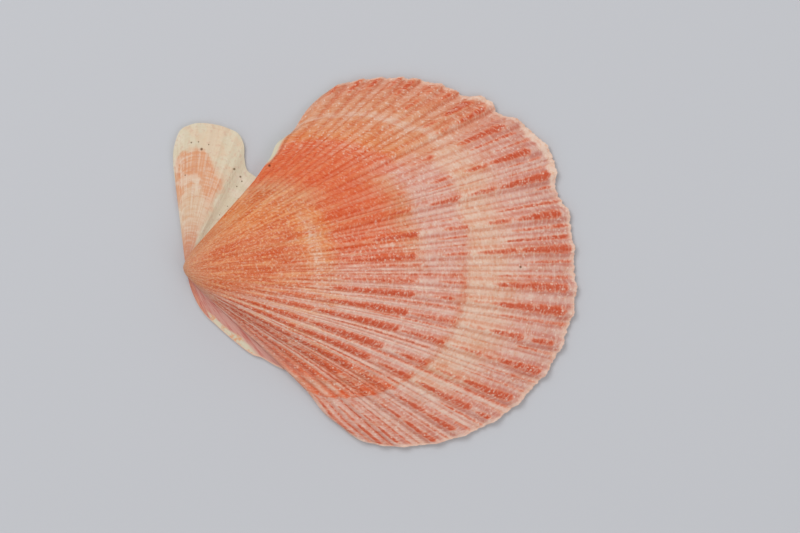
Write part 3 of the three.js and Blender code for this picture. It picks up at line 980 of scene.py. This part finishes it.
# Growth lines, and pale grains where a scale has chipped
growth_lines = back.noise(back.place(*GROWTH_LINES), roughness=0.7)
pale_lines = back.times(back.step(growth_lines, 0.5, 0.66), back.times(calm, 0.38))
painted = back.blend(pale_lines, painted, colour("ivory"))
painted = back.deepen(back.times(back.step(growth_lines, 0.5, 0.34), 0.45), painted, DEEP_RED)
grain = back.noise(back.spot(), GRAIN, 4.0, 0.75)
speck = back.blend(stark, colour("straw"), colour("ivory"))
chips = back.step(back.cells(CHIP, "Distance"), 0.55, 0.15)
chips = back.times(chips, back.step(grain, 0.4, 0.56))
chips = back.times(chips, back.step(back.cells(CHIP, "Color"), 0.58, 0.7))
pale_grains = back.times(back.step(grain, 0.55, 0.72), back.times(calm, 0.4))
painted = back.blend(pale_grains, painted, speck)
painted = back.blend(back.times(chips, back.times(calm, 0.65)), painted, speck)
painted = back.deepen(back.times(back.step(grain, 0.49, 0.3), 0.75), painted, DEEP_ORANGE)

# Painted shade: the steep flank beside the short ear lies in shadow, so it is dulled towards rose
flank = back.times(back.step(side, -40.0, -45.0), back.step(growth, 0.66, 0.5))
painted = back.blend(back.times(flank, 0.35), painted, colour("rose"))

# The free edge past the notch is cream, and so is the foot of the wall all round
tab = back.times(back.step(direction, *TAB_SIDE), back.window(growth, *TAB_GROWTH))
painted = back.blend(tab, painted, colour("fasciole"))
level = back.node("ShaderNodeSeparateXYZ", {0: back.spot()}, "Z")
foot = back.step(back.sum(level, back.times(waver, FOOT_WAVER)), *FOOT_HEIGHT)
foot_colour = back.blend(back.step(direction, 48.0, 50.5), colour("cream"), colour("fasciole"))
painted = back.blend(back.times(foot, 0.8), painted, foot_colour)
painted = back.deepen(back.pits(BACK_PITS), painted, PIT)
# Painted shadow: a dark line along the crease behind the cream tab, where the disc's edge shades it
crease_shadow = back.times(back.window(direction, *CREASE_SIDE), back.window(growth, *CREASE_GROWTH))
painted = back.deepen(back.times(crease_shadow, 0.4), painted, CREASE_SHADOW)

relief = back.sum(back.times(growth_lines, 0.8), back.times(grain, 0.5))
relief = back.sum(relief, back.times(scales, 0.5))
roughness = back.sum(BACK_ROUGHNESS, back.times(scales, 0.2))
back.finish(painted, roughness, BACK_SHINE, relief, BACK_RELIEF)


# The colours of the ears.
# The long ear is orange and ribbed on its hinge side, and cream on its end and along the smooth
# track beside the disc, with a few dark pits. The short ear is a dusky strip with a pale edge.

EAR_PITS = (
    (201.8, 149.3, 0.2), (191.6, 142.7, 0.12), (198.8, 142, 0.1), (209, 144.7, 0.1),
    (185.5, 175.3, 0.1), (234.5, 169.2, 0.18), (240.6, 176.8, 0.16), (242, 181.4, 0.12),
    (237, 186.5, 0.1), (239, 199.3, 0.16), (227.9, 206.4, 0.08), (232.7, 208.3, 0.13),
    (220, 215, 0.08),
)

# Where the track passes into the ribs, in degrees, and where the orange comes and goes, in growth
EAR_TRACK_TO_RIBS = (63.0, 72.0)
EAR_ORANGE_FROM = (0.48, 0.64)
EAR_ORANGE_TO = (0.87, 0.79)

# Clouds and stains in cells a metre, the rest in cells from beak to rim and in cells a degree
EAR_CLOUDS = (180.0, 700.0)
EAR_STAINS = 800.0
EAR_STREAKS = (4.0, 0.5)
EAR_THREADS = (60.0, 0.05)
EAR_CROSS_THREADS = (3.0, 0.9)

EAR_ROUGHNESS = 0.5
EAR_SHINE = 0.25
EAR_RELIEF = 0.12 * MM

ears = Paint("shell_ears")
growth = ears.mark("growth")
direction = ears.mark("direction")
cloud, wisps = (ears.sum(ears.noise(ears.spot(), scale), -0.5) for scale in EAR_CLOUDS)
cloud = ears.sum(cloud, ears.times(wisps, 0.5))
ribbed = ears.step(ears.sum(direction, ears.times(cloud, 18.0)), *EAR_TRACK_TO_RIBS)
painted = ears.blend(ears.times(ribbed, 0.4), colour("fasciole"), colour("peach"))

# The orange starts lower down, and ends lower down, beside the track
inner = ears.step(direction, 82.0, 70.0)
patch = ears.sum(ears.sum(growth, ears.times(cloud, 0.3)), ears.times(inner, 0.12))
orange = ears.times(ears.step(patch, *EAR_ORANGE_FROM), ears.step(patch, *EAR_ORANGE_TO))
orange = ears.times(orange, ribbed)
painted = ears.blend(ears.times(orange, 0.9), painted, colour("ear orange"))
near_beak = ears.times(ears.step(growth, 0.4, 0.1), ribbed)
painted = ears.blend(ears.times(near_beak, 0.8), painted, colour("salmon"))
end = ears.step(patch, 0.8, 0.88)
painted = ears.blend(ears.times(end, 0.85), painted, colour("fasciole"))

# Fine ribs crossed by growth lines, and a mottled end
streaks = ears.noise(ears.place(*EAR_STREAKS))
threads = ears.noise(ears.place(*EAR_THREADS))
crossing = ears.noise(ears.place(*EAR_CROSS_THREADS), detail=2.0)
threads = ears.sum(ears.times(threads, 0.5), ears.times(crossing, 0.5))
laced = ears.times(ribbed, ears.sum(0.4, ears.times(end, -0.25)))
pale_threads = ears.times(ears.step(threads, 0.48, 0.6), laced)
painted = ears.blend(pale_threads, painted, colour("shell white"))
painted = ears.deepen(ears.times(ears.step(threads, 0.5, 0.38), laced), painted, DEEP_ORANGE)
painted = ears.blend(ears.times(ears.step(cloud, 0.04, 0.16), 0.2), painted, colour("gold"))
pale_cloud = ears.times(ears.step(cloud, -0.04, -0.16), 0.4)
painted = ears.blend(pale_cloud, painted, colour("shell white"))
grain = ears.noise(ears.spot(), GRAIN, 2.0, 0.5)
painted = ears.blend(ears.times(ears.step(grain, 0.45, 0.3), 0.2), painted, colour("dusk"))

# The short ear is dusky, streaked and stained along its pale edge
short = ears.blend(ears.step(direction, -62.0, -70.0), colour("rose"), colour("salmon"))
short = ears.blend(ears.step(streaks, 0.45, 0.6), short, colour("dusk"))
short = ears.blend(ears.times(ears.step(threads, 0.48, 0.58), 0.5), short, colour("blush"))
pale_edge = ears.step(ears.sum(growth, ears.times(cloud, 0.3)), 0.76, 0.84)
pale_edge = ears.times(pale_edge, ears.window(direction, -63.5, -50.5, 1.5))
short = ears.blend(pale_edge, short, colour("fasciole"))
stained = ears.times(pale_edge, ears.step(ears.noise(ears.spot(), EAR_STAINS), 0.46, 0.6))
short = ears.blend(ears.times(stained, 0.7), short, colour("amber"))
short = ears.blend(ears.step(growth, 0.96, 0.99), short, colour("cream"))
painted = ears.blend(ears.step(direction, 10.0, -10.0), painted, short)
painted = ears.deepen(ears.pits(EAR_PITS), painted, PIT)
relief = ears.sum(ears.times(streaks, 0.6), threads)
ears.finish(painted, EAR_ROUGHNESS, EAR_SHINE, relief, EAR_RELIEF)


# The polish of the hollow.
# The inner face is porcelain-smooth, cream in the middle, flushed with pink towards the rim.

HOLLOW_BANDS = (
    (0.0, "peach"), (0.3, "cream"), (0.7, "cream"), (0.86, "blush"), (0.95, "rose"), (1.0, "cream"),
)
HOLLOW_CLOUDS = (5.0, 0.06)
HOLLOW_WAVER = 0.12
HOLLOW_ROUGHNESS = 0.25
HOLLOW_SHINE = 0.6

polish = Paint("shell_hollow")
cloud = polish.sum(polish.noise(polish.place(*HOLLOW_CLOUDS)), -0.5)
age = polish.sum(polish.mark("growth"), polish.times(cloud, HOLLOW_WAVER))
polish.finish(polish.bands(age, HOLLOW_BANDS), HOLLOW_ROUGHNESS, HOLLOW_SHINE)

for slot, paint in enumerate((back, ears, polish)):
    shell_mesh.materials[slot] = paint.material


# The floor, the light and the camera.
# A plain pale floor, one large soft light from the upper left with a weak one opposite, and a long
# lens looking straight down.

FLOOR_SIZE = 1.2
PHOTO_WIDTH = 800
PHOTO_MIDDLE = (400, 266.5)
CAMERA_LENS = 200
CAMERA_FILM = 36
FLOOR_COLOUR = (0.5, 0.51, 0.54, 1.0)
FLOOR_ROUGHNESS = 0.9
ROOM_COLOUR = (1.0, 1.0, 1.0, 1.0)
ROOM_STRENGTH = 0.68

floor_mesh = bpy.data.meshes.new("floor")
half = FLOOR_SIZE / 2
corners = [(-half, -half, 0), (half, -half, 0), (half, half, 0), (-half, half, 0)]
floor_mesh.from_pydata(corners, [], [(0, 1, 2, 3)])
floor = bpy.data.objects.new("floor", floor_mesh)
bpy.context.collection.objects.link(floor)
floor_paint = bpy.data.materials.new("floor")
floor_paint.use_nodes = True
paper = floor_paint.node_tree.nodes["Principled BSDF"]
paper.inputs["Base Color"].default_value = FLOOR_COLOUR
paper.inputs["Roughness"].default_value = FLOOR_ROUGHNESS
floor_mesh.materials.append(floor_paint)
floor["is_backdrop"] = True


def soft_light(name, place, size, watts):
    lamp = bpy.data.lights.new(name, "AREA")
    lamp.shape = "DISK"
    lamp.size = size
    lamp.energy = watts
    light = bpy.data.objects.new(name, lamp)
    light.location = place
    light.rotation_euler = (-Vector(place)).to_track_quat("-Z", "Y").to_euler()
    bpy.context.collection.objects.link(light)


soft_light("key", place=(-0.3, 0.4, 0.75), size=0.5, watts=3.3)
soft_light("fill", place=(0.5, -0.3, 0.7), size=0.6, watts=0.8)

world = bpy.data.worlds.new("studio")
world.use_nodes = True
world.node_tree.nodes["Background"].inputs["Color"].default_value = ROOM_COLOUR
world.node_tree.nodes["Background"].inputs["Strength"].default_value = ROOM_STRENGTH
bpy.context.scene.world = world
bpy.context.scene.view_settings.view_transform = "Standard"

lens = bpy.data.cameras.new("camera")
lens.lens = CAMERA_LENS
lens.sensor_width = CAMERA_FILM
camera = bpy.data.objects.new("camera", lens)
distance = PHOTO_WIDTH * PHOTO_SCALE * CAMERA_LENS / CAMERA_FILM
camera.location = in_photo(*PHOTO_MIDDLE, distance)
bpy.context.collection.objects.link(camera)
bpy.context.scene.camera = camera

low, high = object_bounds()
